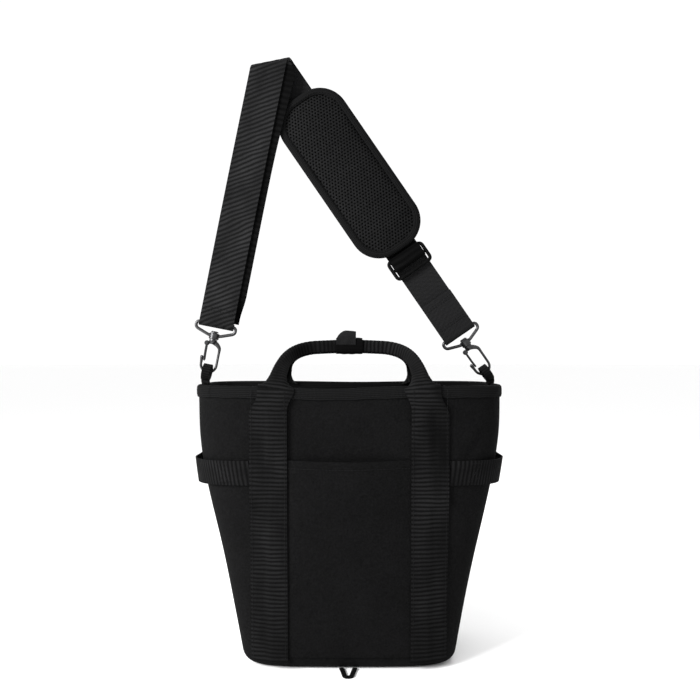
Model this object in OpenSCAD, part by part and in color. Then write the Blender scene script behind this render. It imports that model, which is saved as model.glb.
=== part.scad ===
// Garden tool bag with carry handles and a detachable shoulder strap.
// Z is up, the front faces -Y, and the origin is at the middle of the base.

/* [Bag body] */
// Width across the mouth
mouth_w = 319; // [305:1:335]
// Depth across the mouth
mouth_d = 152; // [140:1:165]
// Depth of the foot of the walls
foot_d = 120; // [110:1:130]
// Height of the rim
bag_h = 290; // [285:1:295]
// How much each side draws in per millimetre below the shoulder
side_slope = 0.2; // [0.15:0.01:0.22]
// Height where the sides start to draw in
shoulder_z = 243; // [225:1:255]
// Squareness of the plan outline, 2 is an ellipse
squareness = 5; // [4:0.5:7]
// Radius of the bottom edge
edge_r = 12; // [8:1:14]
// Thickness of the wall fabric
wall_t = 1.6; // [1.2:0.1:1.8]

/* [Trim and pocket] */
// Height of the tape that binds the rim
binding_h = 11; // [9:1:13]
// Height of the pocket's top edge
pocket_top = 216; // [200:1:225]
// How far the pocket's mouth bulges off the wall
pocket_bulge = 8; // [7:0.5:9]
// Width of the side bands
band_w = 25; // [20:1:25]
// Height of the side bands' lower edge
band_z = 190; // [180:1:195]
// How far the side bands stand off the gussets
band_bulge = 7; // [7:0.5:9]

/* [Webbing and handles] */
// Width of the main webbing
web_w = 38; // [36:1:40]
// Thickness of the main webbing
web_t = 1.6; // [1.2:0.1:1.6]
// Distance of the webbing legs from the middle
leg_x = 81.5; // [76:0.5:84]
// Height of the middle of the grips
grip_z = 331; // [329:1:334]
// Height of the folded grips
grip_h = 16; // [14:1:18]
// Length of the wrap that joins the grips
keeper_w = 30; // [26:1:36]

/* [Shoulder strap] */
// Peak of the strap, across
peak_x = -84.5; // [-90:0.5:-80]
// Peak of the strap, height
peak_z = 640; // [635:1:655]
// Left ring's bar, across
left_bar_x = -146.2; // [-148:0.2:-145]
// Left ring's bar, height
left_bar_z = 355.7; // [354:0.1:357]
// Right ring's bar, across
right_bar_x = 121.8; // [120:0.2:123]
// Right ring's bar, height
right_bar_z = 346.3; // [345:0.1:348]
// Length of the shoulder pad
pad_l = 205; // [195:1:207]
// Width of the shoulder pad
pad_w = 82; // [74:1:86]
// Thickness of the shoulder pad
pad_t = 9; // [8:0.2:9]
// Distance of the pad's middle from the right ring's bar
pad_at = 215; // [215:1:222]
// Distance of the slider from the right ring's bar
slider_at = 97; // [92:1:97]

/* [Hardware] */
// Radius of the ring wire
ring_r = 1.7; // [1.5:0.1:2.2]
// Radius of the hook wire
hook_r = 1.8; // [1.6:0.1:2.2]
// Radius of the hook's bend
bend_r = 8.6; // [8.2:0.1:9]
// Radius of the swivel post
post_r = 2.45; // [2.3:0.05:2.45]
// Radial clearance of a running fit
fit = 0.05; // [0.02:0.01:0.08]
// Radius of the gate wire
gate_r = 0.9; // [0.8:0.05:0.95]
// Radius of the gate pin
pin_r = 1; // [0.9:0.05:1.1]

/* [Hidden] */

fabric_colour = [0.09, 0.09, 0.1];
webbing_colour = [0.14, 0.14, 0.15];
tape_colour = [0.06, 0.06, 0.065];
metal_colour = [0.22, 0.22, 0.23];

gap = 0.3;
wall_z0 = 3.2;
panel_top = bag_h - 2.2;
shoulder_soft = 25;
layer_z0 = 15;
fine = 48;

// ---- surface of the bag ----

// Smooth ramp that is level above the shoulder and has slope 1 below it
function ramp(t) = 0.5 * (t + sqrt(t * t + shoulder_soft * shoulder_soft));
// Inset of the rounded bottom edge at height z
function edge_inset(z) = z < edge_r ? edge_r - sqrt(edge_r * edge_r - pow(edge_r - z, 2)) : 0;
// Half the width and half the depth of the outer wall at height z
function half_w(z) =
    mouth_w / 2 - side_slope * (ramp(shoulder_z - z) - ramp(shoulder_z - bag_h)) - edge_inset(z);
function half_d(z) = (foot_d + (mouth_d - foot_d) * z / bag_h) / 2 - edge_inset(z);
// Corners of the plan box in order, counter-clockwise from the front left
function box_corner(k, a, b) = [(k % 4 == 1 || k % 4 == 2 ? a : -a), (k % 4 >= 2 ? b : -b)];
// Point at place q round the outline: 0 to 1 is the front, 1 to 2 the right side, and so on
function wall_point(q, z, off) =
    let (
        a = half_w(z) + off,
        b = half_d(z) + off,
        k = min(floor(q), 3),
        p = box_corner(k, a, b) * (1 - (q - k)) + box_corner(k + 1, a, b) * (q - k),
        r = pow(pow(abs(p.x) / a, squareness) + pow(abs(p.y) / b, squareness), -1 / squareness)
    )
    [p.x * r, p.y * r, z];
// Half the depth of the outline at a given x, and half its width at a given y
function depth_at(x, z, off) =
    let (a = half_w(z) + off)
    (half_d(z) + off) * pow(1 - pow(min(abs(x) / a, 0.999), squareness), 1 / squareness);
function width_at(y, z, off) =
    let (b = half_d(z) + off)
    (half_w(z) + off) * pow(1 - pow(min(abs(y) / b, 0.999), squareness), 1 / squareness);
function lerp(a, b, t) = a + (b - a) * t;

// Closed slab between an outer and an inner sheet. at(s, t, side) gives a point,
// s runs to the right as seen from outside, t runs up, and side is 0 outside and 1 inside.
module slab(at, columns, rows, ring = false) {
    n = ring ? columns : columns + 1;
    sheet = n * (rows + 1);
    points = [
        for (side = [0, 1], j = [0 : rows], i = [0 : n - 1]) at(i / columns, j / rows, side)
    ];
    function id(side, i, j) = side * sheet + j * n + i % n;
    sheets = [
        for (side = [0, 1], j = [0 : rows - 1], i = [0 : columns - 1])
            let (
                a = id(side, i, j),
                b = id(side, i, j + 1),
                c = id(side, i + 1, j + 1),
                d = id(side, i + 1, j)
            )
            each side == 0 ? [[a, b, c], [a, c, d]] : [[a, c, b], [a, d, c]]
    ];
    rims = [
        for (j = [0, rows], i = [0 : columns - 1])
            let (
                a = id(0, i, j),
                b = id(0, i + 1, j),
                c = id(1, i + 1, j),
                d = id(1, i, j)
            )
            each j == 0 ? [[a, b, c], [a, c, d]] : [[a, c, b], [a, d, c]]
    ];
    sides = ring ? [] : [
        for (i = [0, columns], j = [0 : rows - 1])
            let (
                a = id(0, i, j),
                b = id(0, i, j + 1),
                c = id(1, i, j + 1),
                d = id(1, i, j)
            )
            each i == 0 ? [[a, c, b], [a, d, c]] : [[a, b, c], [a, c, d]]
    ];
    polyhedron(points, concat(sheets, rims, sides), convexity = 8);
}

// Flat strip of a given thickness along a path of 2-D points
function along(pts, i) =
    let (d = pts[min(i + 1, len(pts) - 1)] - pts[max(i - 1, 0)])
    d / norm(d);
function ribbon_side(pts, t, side) = [
    for (i = [0 : len(pts) - 1])
        let (
            d = along(pts, i),
            e = i > 0 ? (pts[i] - pts[i - 1]) / norm(pts[i] - pts[i - 1]) : d,
            mitre = max(0.7, d.x * e.x + d.y * e.y)
        )
        pts[i] + [-d.y, d.x] * side * t / 2 / mitre
];
module ribbon(pts, t) {
    back = ribbon_side(pts, t, -1);
    polygon(concat(ribbon_side(pts, t, 1), [for (i = [len(pts) - 1 : -1 : 0]) back[i]]));
}
function arc(c, r, from, to, steps) = [
    for (i = [0 : steps]) c + r * [cos(lerp(from, to, i / steps)), sin(lerp(from, to, i / steps))]
];

// ---- bag body ----

module base_panel() {
    z1 = wall_z0 - gap;
    outline = [for (i = [0 : 95]) let (p = wall_point(i / 24, 0.6, 0)) [p.x, p.y]];
    color(fabric_colour) linear_extrude(z1) polygon(outline);
}
module base_board() {
    board_z0 = wall_z0 + 0.2;
    board_t = 3;
    outline = [for (i = [0 : 63]) let (p = wall_point(i / 16, board_z0, -wall_t - 0.8)) [p.x, p.y]];
    color("dimgray") translate([0, 0, board_z0]) linear_extrude(board_t) polygon(outline);
}
// Wall panel from place q0 to place q1 round the outline
module wall_panel(q0, q1, columns) {
    seam = 0.0015;
    color(fabric_colour) slab(
        function (s, t, side)
            wall_point(
                lerp(q0 + seam, q1 - seam, s),
                wall_z0 + (panel_top - wall_z0) * pow(t, 1.3),
                -wall_t * side
            ),
        columns, 14
    );
}
module front_panel() { wall_panel(0, 1, 20); }
module right_gusset() { wall_panel(1, 2, 14); }
module back_panel() { wall_panel(2, 3, 20); }
module left_gusset() { wall_panel(3, 4, 14); }

// Tape folded over the rim: an outer face, a top and an inner face
tape_t = 1.2;
module rim_binding() {
    z0 = bag_h - binding_h;
    z1 = panel_top + 0.2;
    steps = 72;
    profile = [
        [gap, z0], [gap + tape_t, z0], [gap + tape_t, bag_h], [-wall_t - gap - tape_t, bag_h],
        [-wall_t - gap - tape_t, z0], [-wall_t - gap, z0], [-wall_t - gap, z1], [gap, z1]
    ];
    m = len(profile);
    points = [for (i = [0 : steps - 1], p = profile) wall_point(4 * i / steps, p.y, p.x)];
    faces = [
        for (i = [0 : steps - 1], k = [0 : m - 1])
            let (
                a = i * m + k,
                b = i * m + (k + 1) % m,
                c = ((i + 1) % steps) * m + (k + 1) % m,
                d = ((i + 1) % steps) * m + k
            )
            each [[a, b, c], [a, c, d]]
    ];
    color(tape_colour) polyhedron(points, faces, convexity = 6);
}

// Pocket: flat at its edges and foot, standing off the wall at the middle of its mouth
function pocket_off(x, z) =
    let (w = leg_x - web_w / 2 - 1)
    pocket_bulge * max(0, 1 - pow(x / w, 2)) * sin(90 * max(0, (z - 60) / (pocket_top - 60)));
module front_pocket() {
    half = leg_x - 5;
    color(fabric_colour) slab(
        function (s, t, side)
            let (
                x = lerp(-half, half, s),
                z = lerp(layer_z0, pocket_top, t),
                off = gap + 1.2 * (1 - side) + pocket_off(x, z)
            )
            [x, -depth_at(x, z, off), z],
        24, 14
    );
}

// Upright webbing leg on the front (face -1) or the back (face 1)
module webbing_leg(x0, face) {
    off = 2.0;
    color(webbing_colour) slab(
        function (s, t, side)
            let (x = x0 - face * lerp(-web_w / 2, web_w / 2, s), z = lerp(layer_z0, bag_h - 0.2, t))
            [x, face * depth_at(x, z, off + web_t * (1 - side)), z],
        6, 12
    );
}
module front_leg_left() { webbing_leg(-leg_x, -1); }
module front_leg_right() { webbing_leg(leg_x, -1); }
module rear_leg_left() { webbing_leg(-leg_x, 1); }
module rear_leg_right() { webbing_leg(leg_x, 1); }

// Band from the front leg round one side to the rear leg, standing off at the middle
module side_band(face) {
    band_t = 1.4;
    reach = 0.27;
    middle = face > 0 ? 1.5 : 3.5;
    color(webbing_colour) slab(
        function (s, t, side)
            let (
                q = middle + lerp(-0.5 - reach / 2, 0.5 + reach / 2, s),
                wrapped = q > 4 ? q - 4 : q,
                z = band_z + band_w * t,
                swell = pow(cos(180 * (s - 0.5)), 2),
                lift = 0.4 + band_bulge * min(1, 1.25 * swell) + band_t * (1 - side)
            )
            wall_point(wrapped, z, lift),
        36, 2
    );
}
module side_band_left() { side_band(-1); }
module side_band_right() { side_band(1); }

// ---- carry handles ----

// Middle line of a handle's left half: rises from the rim and bends into the grip
rim_y = depth_at(leg_x, bag_h, 2.8);
grip_y = 3.4;
curve = [
    [-leg_x, -rim_y, bag_h + 0.6], [-leg_x, -rim_y + 8, bag_h + 21],
    [-leg_x + 11.5, -grip_y - 6, grip_z - 5], [-40, -grip_y, grip_z]
];
function bezier(p, t) =
    p[0] * pow(1 - t, 3) + 3 * p[1] * t * pow(1 - t, 2) + 3 * p[2] * t * t * (1 - t) + p[3] * t * t * t;
function bezier_way(p, t) =
    let (
        d = 3 * (p[1] - p[0]) * pow(1 - t, 2) + 6 * (p[2] - p[1]) * t * (1 - t)
            + 3 * (p[3] - p[2]) * t * t
    )
    d / norm(d);
// Direction across the webbing: along X at the rim, upright at the grip
function across(t) =
    let (
        way = bezier_way(curve, t),
        blend = pow(sin(90 * t), 1.5),
        raw = [-(1 - blend), 0, blend],
        flat = raw - way * (raw * way)
    )
    flat / norm(flat);
function handle_width(t) = lerp(web_w, grip_h, min(1, t * 2.2));
function handle_thick(t) = lerp(web_t, 5.2, min(1, t * 1.5));
// Webbing between two places on the curve, mirrored to the side and face wanted
module handle_part(t0, t1, sx, sy) {
    mirror([sx > 0 ? 1 : 0, 0, 0]) mirror([0, sy > 0 ? 1 : 0, 0]) slab(
        function (s, t, side)
            let (
                place = lerp(t0, t1, t),
                u = across(place),
                v = cross(u, bezier_way(curve, place))
            )
            bezier(curve, place) + u * handle_width(place) * (0.5 - s)
                + v * handle_thick(place) * (side - 0.5),
        4, 8
    );
}
riser_end = 0.5;
module front_riser_left() { color(webbing_colour) handle_part(0, riser_end, -1, -1); }
module front_riser_right() { color(webbing_colour) handle_part(0, riser_end, 1, -1); }
module rear_riser_left() { color(webbing_colour) handle_part(0, riser_end, -1, 1); }
module rear_riser_right() { color(webbing_colour) handle_part(0, riser_end, 1, 1); }
// Place on the grip's left half: along the curve, then straight to the middle
function grip_at(k) =
    let (bend = 0.75, t = lerp(riser_end + 0.01, 1, min(1, k / bend)), rest = max(0, (k - bend) / (1 - bend)))
    [bezier(curve, t) + [40 * rest, 0, 0], across(t), cross(across(t), bezier_way(curve, t)), t];
module grip(face) {
    color(webbing_colour) mirror([0, face > 0 ? 1 : 0, 0]) slab(
        function (s, t, side)
            let (
                g = grip_at(1 - abs(2 * t - 1)),
                p = g[0] + g[1] * handle_width(g[3]) * (0.5 - s) + g[2] * handle_thick(g[3]) * (side - 0.5)
            )
            [t > 0.5 ? -p.x : p.x, p.y, p.z],
        4, 24
    );
}
module front_grip() { grip(-1); }
module rear_grip() { grip(1); }

// Wrap round both grips
wrap_y = grip_y + 2.6 + gap;
wrap_z = grip_h / 2 + gap;
wrap_t = 1.5;
patch_t = 0.8;
flap_z = grip_z + wrap_z + wrap_t;
module keeper_band() {
    color(tape_colour) translate([0, 0, grip_z]) rotate([90, 0, 90])
        linear_extrude(keeper_w, center = true) difference() {
            square([2 * (wrap_y + wrap_t), 2 * (wrap_z + wrap_t)], center = true);
            square([2 * wrap_y, 2 * wrap_z], center = true);
        }
}
module keeper_patch(z, w) {
    translate([-3, -0.5, z + patch_t / 2]) cube([w, 10, patch_t], center = true);
}
module keeper_loop_patch() { color("black") keeper_patch(flap_z + 0.1, 20); }
module keeper_hook_patch() { color("dimgray") keeper_patch(flap_z + 0.2 + patch_t + gap, 18); }
// Flap over the patches, with its free end turned down in front of the wrap
module keeper_flap() {
    flap_t = 1.2;
    flap_w = 21;
    bend = 3;
    z = flap_z + 2 * patch_t + 3 * gap + flap_t / 2;
    hinge_y = wrap_y + wrap_t - 1;
    front_y = -wrap_y - wrap_t - 2 * gap - flap_t / 2;
    path = concat(
        [[hinge_y, z], [front_y + bend, z]],
        arc([front_y + bend, z - bend], bend, 90, 180, 6),
        [[front_y, grip_z + 3]]
    );
    color(webbing_colour) translate([-14, 0, 0]) rotate([90, 0, 90])
        linear_extrude(flap_w) ribbon(path, flap_t);
}

// ---- loops of tape ----

tab_r = 7.6;
tab_w = 8.5;
foot_t = 3.2;
// Middle of the hook's bend in the frame of a strap leg
bend_at = -(45 + bend_r);
// Middle of each layer over the peak, and how far the fold spreads the two legs
y_out = 7.55;
y_in = 5.65;
fold_spread = 5.0;
left_tilt = atan2(peak_x - fold_spread - left_bar_x, peak_z - left_bar_z);
right_tilt = atan2(peak_x + fold_spread - right_bar_x, peak_z - right_bar_z);
loop_r = 2.5;
turn_r = loop_r + web_t / 2;
bar_y = y_out - turn_r;
function leg_point(bar, tilt, d) = [bar.x + d * sin(tilt), bar.z + d * cos(tilt)];
left_eye = leg_point([left_bar_x, 0, left_bar_z], left_tilt, bend_at);
right_eye = leg_point([right_bar_x, 0, right_bar_z], right_tilt, bend_at);

// Tape loop round the hook's bend, leaning with it and twisting down to the inside of the gusset
module side_tab(eye, tilt, y, face) {
    wall_in = width_at(y, bag_h - 8, 0) - wall_t - gap - tape_t - gap;
    foot_x = face * (wall_in - foot_t / 2 - 0.8);
    module foot_top() {
        translate([foot_x, y, bag_h + 0.7]) cube([foot_t, 8, 1], center = true);
    }
    color(webbing_colour) union() {
        translate([eye.x, y, eye.y]) rotate([0, tilt, 0]) rotate([90, 0, 90])
            linear_extrude(tab_w, center = true) difference() {
                circle(r = tab_r + web_t, $fn = fine);
                circle(r = tab_r, $fn = fine);
            }
        hull() {
            translate([eye.x, y, eye.y]) rotate([0, tilt, 0]) translate([0, 0, -tab_r - 1])
                cube([tab_w, 4.4, 0.8], center = true);
            foot_top();
        }
        hull() {
            foot_top();
            translate([foot_x - face * 1.2, y, bag_h - 22]) cube([foot_t - 0.6, 9, 1], center = true);
        }
    }
}
module side_tab_left() { side_tab(left_eye, left_tilt, -bar_y, -1); }
module side_tab_right() { side_tab(right_eye, right_tilt, bar_y, 1); }

// Flat loop that lies in front of the base
module base_loop() {
    color(webbing_colour) translate([-1, 0, 0.15]) linear_extrude(1.5) difference() {
        hull() {
            translate([0, -59]) square([19, 4], center = true);
            translate([0, -76.5]) circle(r = 4.5, $fn = 32);
        }
        hull() {
            translate([0, -64.5]) square([6, 2], center = true);
            translate([0, -70.5]) circle(r = 2.3, $fn = 32);
        }
    }
}

// ---- shoulder strap ----

fold_tilt = (left_tilt + right_tilt) / 2;
fold_half = (left_tilt - right_tilt) / 2;
line_way = [cos(fold_tilt), 0, -sin(fold_tilt)];
across_way = [sin(fold_tilt), 0, cos(fold_tilt)];
// Flat length from a ring's bar to the middle of the fold, for a layer of radius r
function spread_at(r) = PI * r / 2 * tan(fold_half);
function left_reach(r) =
    norm([peak_x, peak_z] - spread_at(y_out) * [cos(fold_tilt), -sin(fold_tilt)] - [left_bar_x, left_bar_z])
        + PI * r / 2 / cos(fold_half);
function right_reach(r) =
    norm([peak_x, peak_z] + spread_at(y_out) * [cos(fold_tilt), -sin(fold_tilt)] - [right_bar_x, right_bar_z])
        + PI * r / 2 / cos(fold_half);

// Puts a child drawn up +Z from a ring's bar onto a strap leg
module on_left() { translate([left_bar_x, 0, left_bar_z]) rotate([0, left_tilt, 0]) children(); }
module on_right() { translate([right_bar_x, 0, right_bar_z]) rotate([0, right_tilt, 0]) children(); }

// Point of webbing folded flat over the peak: u across it, w along it from the middle of the
// fold (negative on the right), r the layer's radius there and h the height above its middle
function fold_point(u, w, r, h) =
    let (
        p = u * sin(fold_half) + w * cos(fold_half),
        e = u * cos(fold_half) - w * sin(fold_half),
        turn = max(-90, min(90, p / r * 180 / PI)),
        up = (r + h) * cos(turn) - max(0, abs(p) - PI * r / 2)
    )
    [peak_x, -(r + h) * sin(turn), peak_z] + e * line_way + up * across_way;
// Point round a ring's bar and back up: v is the length past the bar
function turn_point(bar, tilt, side, u, v, h) =
    let (
        a = min(180, v / turn_r * 180 / PI),
        y = bar_y + (turn_r + h) * cos(a),
        z = max(0, v - PI * turn_r) - (a < 180 ? (turn_r + h) * sin(a) : 0)
    )
    [bar.x + u * cos(tilt) + z * sin(tilt), side * y, bar.y - u * sin(tilt) + z * cos(tilt)];
tail_right = 46;
left_bar = [left_bar_x, left_bar_z];
right_bar = [right_bar_x, right_bar_z];
fold_zone = 26;
// Lengths at which the webbing gets a row of points, closer together over the fold
function rows_between(a, b, n) = [for (i = [0 : n]) lerp(a, b, i / n)];
module webbing(at, lengths) {
    color(webbing_colour) slab(
        function (s, t, side)
            at(lerp(-web_w / 2, web_w / 2, s), lengths[round(t * (len(lengths) - 1))], web_t * (0.5 - side)),
        8, len(lengths) - 1
    );
}
// From the right ring behind the slider and pad, over the peak and round the left ring's bar
module strap_main() {
    right = -right_reach(y_out);
    left = left_reach(y_out);
    half_turn = PI * turn_r;
    webbing(
        function (u, w, h)
            w < right ? turn_point(right_bar, right_tilt, 1, u, right - w, h)
            : w > left ? turn_point(left_bar, left_tilt, -1, u, w - left, h)
            : fold_point(u, w, y_out, h),
        concat(
            [right - half_turn - tail_right],
            rows_between(right - half_turn, right, 10),
            rows_between(-fold_zone, fold_zone, 26),
            rows_between(left, left + half_turn, 10),
            [left + half_turn + 3]
        )
    );
}
// Second layer: from the left ring's turn up over the peak and down behind the pad
return_end = 200;
module strap_return() {
    left = left_reach(y_in);
    start = turn_r - bar_y;
    webbing(
        function (u, w, h)
            let (p = fold_point(u, w, y_in, h), z = left - w, near = max(0, min(1, (36 - z) / 26)))
            w > 0 ? [p.x, p.y + near * (start + y_in), p.z] : p,
        concat(
            [-right_reach(y_in) + return_end],
            rows_between(-fold_zone, fold_zone, 26),
            [left - 36, left - 30, left - 20, left - 10, left - 3.5]
        )
    );
}
// End of the second layer, turned round the slider's bar
slider_bar_r = 2;
slider_loop = slider_bar_r + gap;
slider_y = y_in - slider_loop - web_t / 2;
// Short end in front of the bar, which stops below the pad, and the layer behind it
tail_l = 13;
tail_back = 67;
module slider_tail() {
    r = slider_loop + web_t / 2;
    path = concat([[slider_y - r, tail_l]], arc([slider_y, 0], r, 180, 360, 16), [[y_in, tail_back]]);
    color(webbing_colour) on_right() translate([0, 0, slider_at]) rotate([90, 0, 90])
        linear_extrude(web_w, center = true) ribbon(path, web_t);
}

// ---- slider ----

slider_w = 48;
slider_h = 26;
slider_rail = 2;
stub_r = 1.2;
module slider_frame() {
    inner_w = slider_w / 2 - slider_rail;
    inner_h = slider_h / 2 - slider_rail;
    color(metal_colour) on_right() translate([0, slider_y, slider_at]) {
        for (x = [-inner_w, inner_w]) {
            difference() {
                translate([x, 0, 0]) cylinder(r = slider_rail, h = 2 * inner_h, center = true, $fn = 24);
                rotate([0, 90, 0]) cylinder(r = stub_r + fit, h = slider_w, center = true, $fn = 24);
            }
        }
        for (z = [-inner_h, inner_h]) {
            translate([0, 0, z]) rotate([0, 90, 0])
                cylinder(r = slider_rail - 0.2, h = 2 * inner_w, center = true, $fn = 24);
            for (x = [-inner_w, inner_w]) translate([x, 0, z]) sphere(r = slider_rail, $fn = 24);
        }
    }
}
module slider_bar() {
    bar_l = slider_w - 4 * slider_rail - 0.4;
    stubs_l = slider_w - 0.8;
    color(metal_colour) on_right() translate([0, slider_y, slider_at]) rotate([0, 90, 0]) {
        cylinder(r = slider_bar_r, h = bar_l, center = true, $fn = 32);
        cylinder(r = stub_r, h = stubs_l, center = true, $fn = 24);
    }
}

// ---- shoulder pad ----

module rounded_plate(l, w, r, t) {
    translate([0, t / 2, 0]) rotate([90, 0, 0]) linear_extrude(t) union() {
        square([w, l - 2 * r], center = true);
        square([w - 2 * r, l], center = true);
        for (x = [-1, 1], z = [-1, 1])
            translate([x * (w / 2 - r), z * (l / 2 - r)]) circle(r = r, $fn = 64);
    }
}
pad_r = 33;
pad_edge = 7;
cover_t = 1.4;
module pad_layer(inset, y0, y1) {
    on_right() translate([0, (y0 + y1) / 2, pad_at])
        rounded_plate(pad_l - 2 * inset, pad_w - 2 * inset, pad_r - inset, y1 - y0);
}
module pad_mesh() { color("black") pad_layer(2, -pad_t / 2, -pad_t / 2 + cover_t); }
module pad_backing() { color(fabric_colour) pad_layer(2, pad_t / 2 - cover_t, pad_t / 2); }
module pad_foam() {
    color("dimgray") pad_layer(pad_edge, -pad_t / 2 + cover_t + 0.1, pad_t / 2 - cover_t - 0.1);
}
module pad_binding() {
    color(tape_colour) difference() {
        pad_layer(0, -pad_t / 2 + cover_t + 0.1, pad_t / 2 - cover_t - 0.1);
        pad_layer(pad_edge - 0.2, -pad_t, pad_t);
    }
}
// Loop behind the pad that the webbing runs through
module pad_loop(at) {
    run_w = web_w + 4;
    y1 = y_out + web_t / 2 + gap;
    color(webbing_colour) on_right() translate([0, 0, pad_at + at]) difference() {
        translate([-run_w / 2 - 1.2, pad_t / 2 + 0.05, -11]) cube([run_w + 2.4, y1 + 1.2 - pad_t / 2, 22]);
        translate([-run_w / 2, pad_t / 2 - 1, -12]) cube([run_w, y1 - pad_t / 2 + 1, 24]);
    }
}
module pad_loop_upper() { pad_loop(60); }
module pad_loop_lower() { pad_loop(-60); }

// ---- rings, hooks and gates ----

ring_half = 22;
ball = 0.12;
boss_top = -10;
boss_h = 7;
boss_r = 5.5;
// Round bar between two points, with a ball a little fatter than the bar at each end
module rod(a, b, r) {
    d = b - a;
    translate(a) rotate([0, acos(d.z / norm(d)), atan2(d.y, d.x)]) cylinder(r = r, h = norm(d), $fn = 28);
    translate(a) sphere(r = r + ball, $fn = 28);
    translate(b) sphere(r = r + ball, $fn = 28);
}
module ring() {
    color(metal_colour) difference() {
        union() {
            rod([-ring_half, 0, 0], [ring_half, 0, 0], ring_r);
            for (s = [-1, 1]) {
                rod([s * ring_half, 0, 0], [s * ring_half, 0, -7], ring_r);
                rod([s * ring_half, 0, -7], [s * 5.2, 0, -13], ring_r);
            }
            translate([0, 0, boss_top - boss_h]) cylinder(r = boss_r, h = boss_h, $fn = fine);
        }
        translate([0, 0, boss_top - boss_h - 1]) cylinder(r = post_r + fit, h = boss_h + 8, $fn = fine);
    }
}
gate_x = -6.2;
gate_z = -22;
lug_t = 3;
lug_r = 3.2;
collar_r = 4.3;
collar_h = 4.6;
head_r = 4;
head_h = 1.8;
// Short cylinder across the hook on the gate's axis
module across_gate(r, h) {
    translate([gate_x, 0, gate_z]) rotate([90, 0, 0]) cylinder(r = r, h = h, center = true, $fn = 32);
}
module hook() {
    collar_top = boss_top - boss_h - gap;
    head_z = boss_top + gap;
    bend_x = 0.2;
    bend_z = -45;
    shoulder_at = -28;
    nose_at = -37.5;
    spine_x = bend_x + bend_r;
    nose_x = bend_x - bend_r;
    color(metal_colour) difference() {
        union() {
            translate([0, 0, head_z]) cylinder(r = head_r, h = head_h, $fn = fine);
            translate([0, 0, collar_top - 1]) cylinder(r = post_r, h = head_z - collar_top + 2, $fn = fine);
            translate([0, 0, collar_top - collar_h]) cylinder(r = collar_r, h = collar_h, $fn = fine);
            rod([0.5, 0, collar_top - 3.5], [spine_x, 0, shoulder_at], hook_r);
            rod([spine_x, 0, shoulder_at], [spine_x, 0, bend_z], hook_r);
            translate([bend_x, 0, bend_z]) rotate([90, 0, 0]) rotate([0, 0, 180])
                rotate_extrude(angle = 180, $fn = 64) translate([bend_r, 0]) circle(r = hook_r, $fn = 28);
            rod([nose_x, 0, bend_z], [nose_x - 0.4, 0, nose_at], hook_r);
            across_gate(lug_r, lug_t);
        }
        across_gate(pin_r + 0.02, 4 * lug_t);
    }
}
module gate() {
    tip = [-5.6, 0, -41];
    eye_y = lug_t / 2 + gap + gate_r;
    eye_r = 2;
    half_tip = 2;
    color(metal_colour) difference() {
        union() {
            for (s = [-1, 1]) {
                translate([0, s * eye_y, 0]) across_gate(eye_r, 2 * gate_r);
                rod([gate_x, s * eye_y, gate_z - eye_r], [tip.x, s * half_tip, tip.z], gate_r);
            }
            rod([tip.x, -half_tip, tip.z], [tip.x, half_tip, tip.z], gate_r);
        }
        across_gate(pin_r + fit, 4 * lug_t);
    }
}
module gate_pin() {
    color(metal_colour) across_gate(pin_r, lug_t + 4 * gate_r + 1.4);
}
module left_hardware() { on_left() translate([0, -bar_y, 0]) children(); }
module right_hardware() { on_right() translate([0, bar_y, 0]) children(); }
module ring_left() { left_hardware() ring(); }
module ring_right() { right_hardware() ring(); }
module hook_left() { left_hardware() hook(); }
module hook_right() { right_hardware() hook(); }
module gate_left() { left_hardware() gate(); }
module gate_right() { right_hardware() gate(); }
module gate_pin_left() { left_hardware() gate_pin(); }
module gate_pin_right() { right_hardware() gate_pin(); }

base_panel();
base_board();
front_panel();
back_panel();
left_gusset();
right_gusset();
rim_binding();
front_pocket();
front_leg_left();
front_leg_right();
rear_leg_left();
rear_leg_right();
side_band_left();
side_band_right();
side_tab_left();
side_tab_right();
base_loop();
front_riser_left();
front_riser_right();
rear_riser_left();
rear_riser_right();
front_grip();
rear_grip();
keeper_band();
keeper_loop_patch();
keeper_hook_patch();
keeper_flap();
strap_main();
strap_return();
slider_tail();
slider_frame();
slider_bar();
pad_mesh();
pad_foam();
pad_backing();
pad_binding();
pad_loop_upper();
pad_loop_lower();
ring_left();
ring_right();
hook_left();
hook_right();
gate_left();
gate_right();
gate_pin_left();
gate_pin_right();
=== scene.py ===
from math import atan2, copysign, cos, exp, hypot, pi, radians, sin, sqrt, tan

import bpy
import numpy as np
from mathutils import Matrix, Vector
from mathutils.bvhtree import BVHTree
from numpy.linalg import norm


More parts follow.
